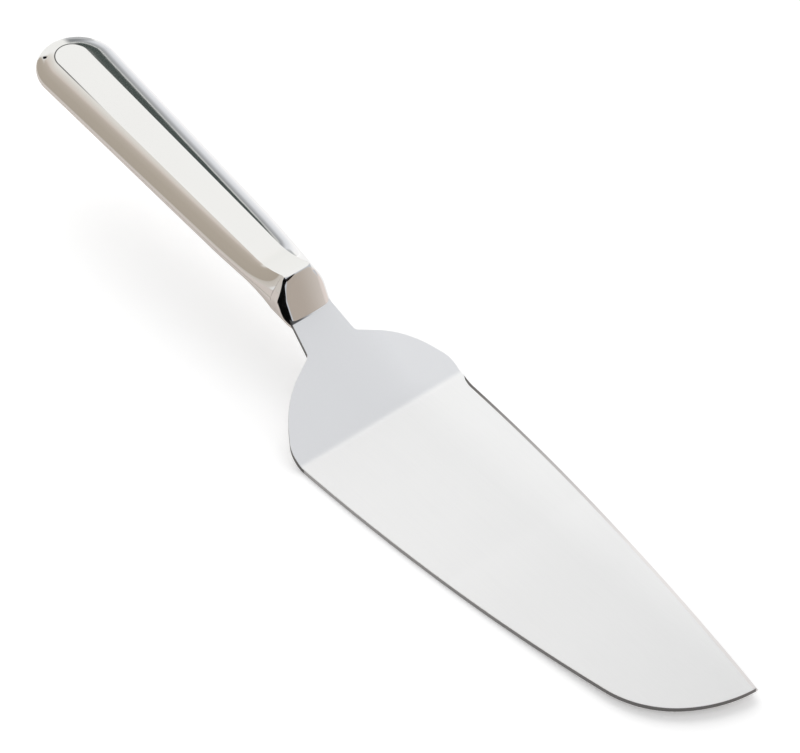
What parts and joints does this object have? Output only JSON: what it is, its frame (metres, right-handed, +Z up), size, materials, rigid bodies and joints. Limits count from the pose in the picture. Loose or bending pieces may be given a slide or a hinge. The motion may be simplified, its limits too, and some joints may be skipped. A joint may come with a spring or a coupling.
{
  "type": "cake server",
  "caption": "Cake server: a flat satin steel blade with one bevelled edge and a bent-up shoulder, on a hollow polished steel handle for cutting and lifting slices.",
  "frame": {"origin": "middle of the whole object's box, on the table that the flat of the blade lies on", "axes": "+X along the server towards the tip, +Y towards the bevelled edge, +Z up from the table"},
  "size_m": [0.281, 0.056, 0.0402],
  "materials": {
    "satin_steel": "satin",
    "polished_steel": "mirror polish",
    "cement": "rough filler"
  },
  "bodies": {
    "root": {"serving_blade": "satin_steel", "bolster": "polished_steel", "upper_handle_shell": "polished_steel", "lower_handle_shell": "polished_steel", "tang_cement": "cement"}
  },
  "joints": []
}
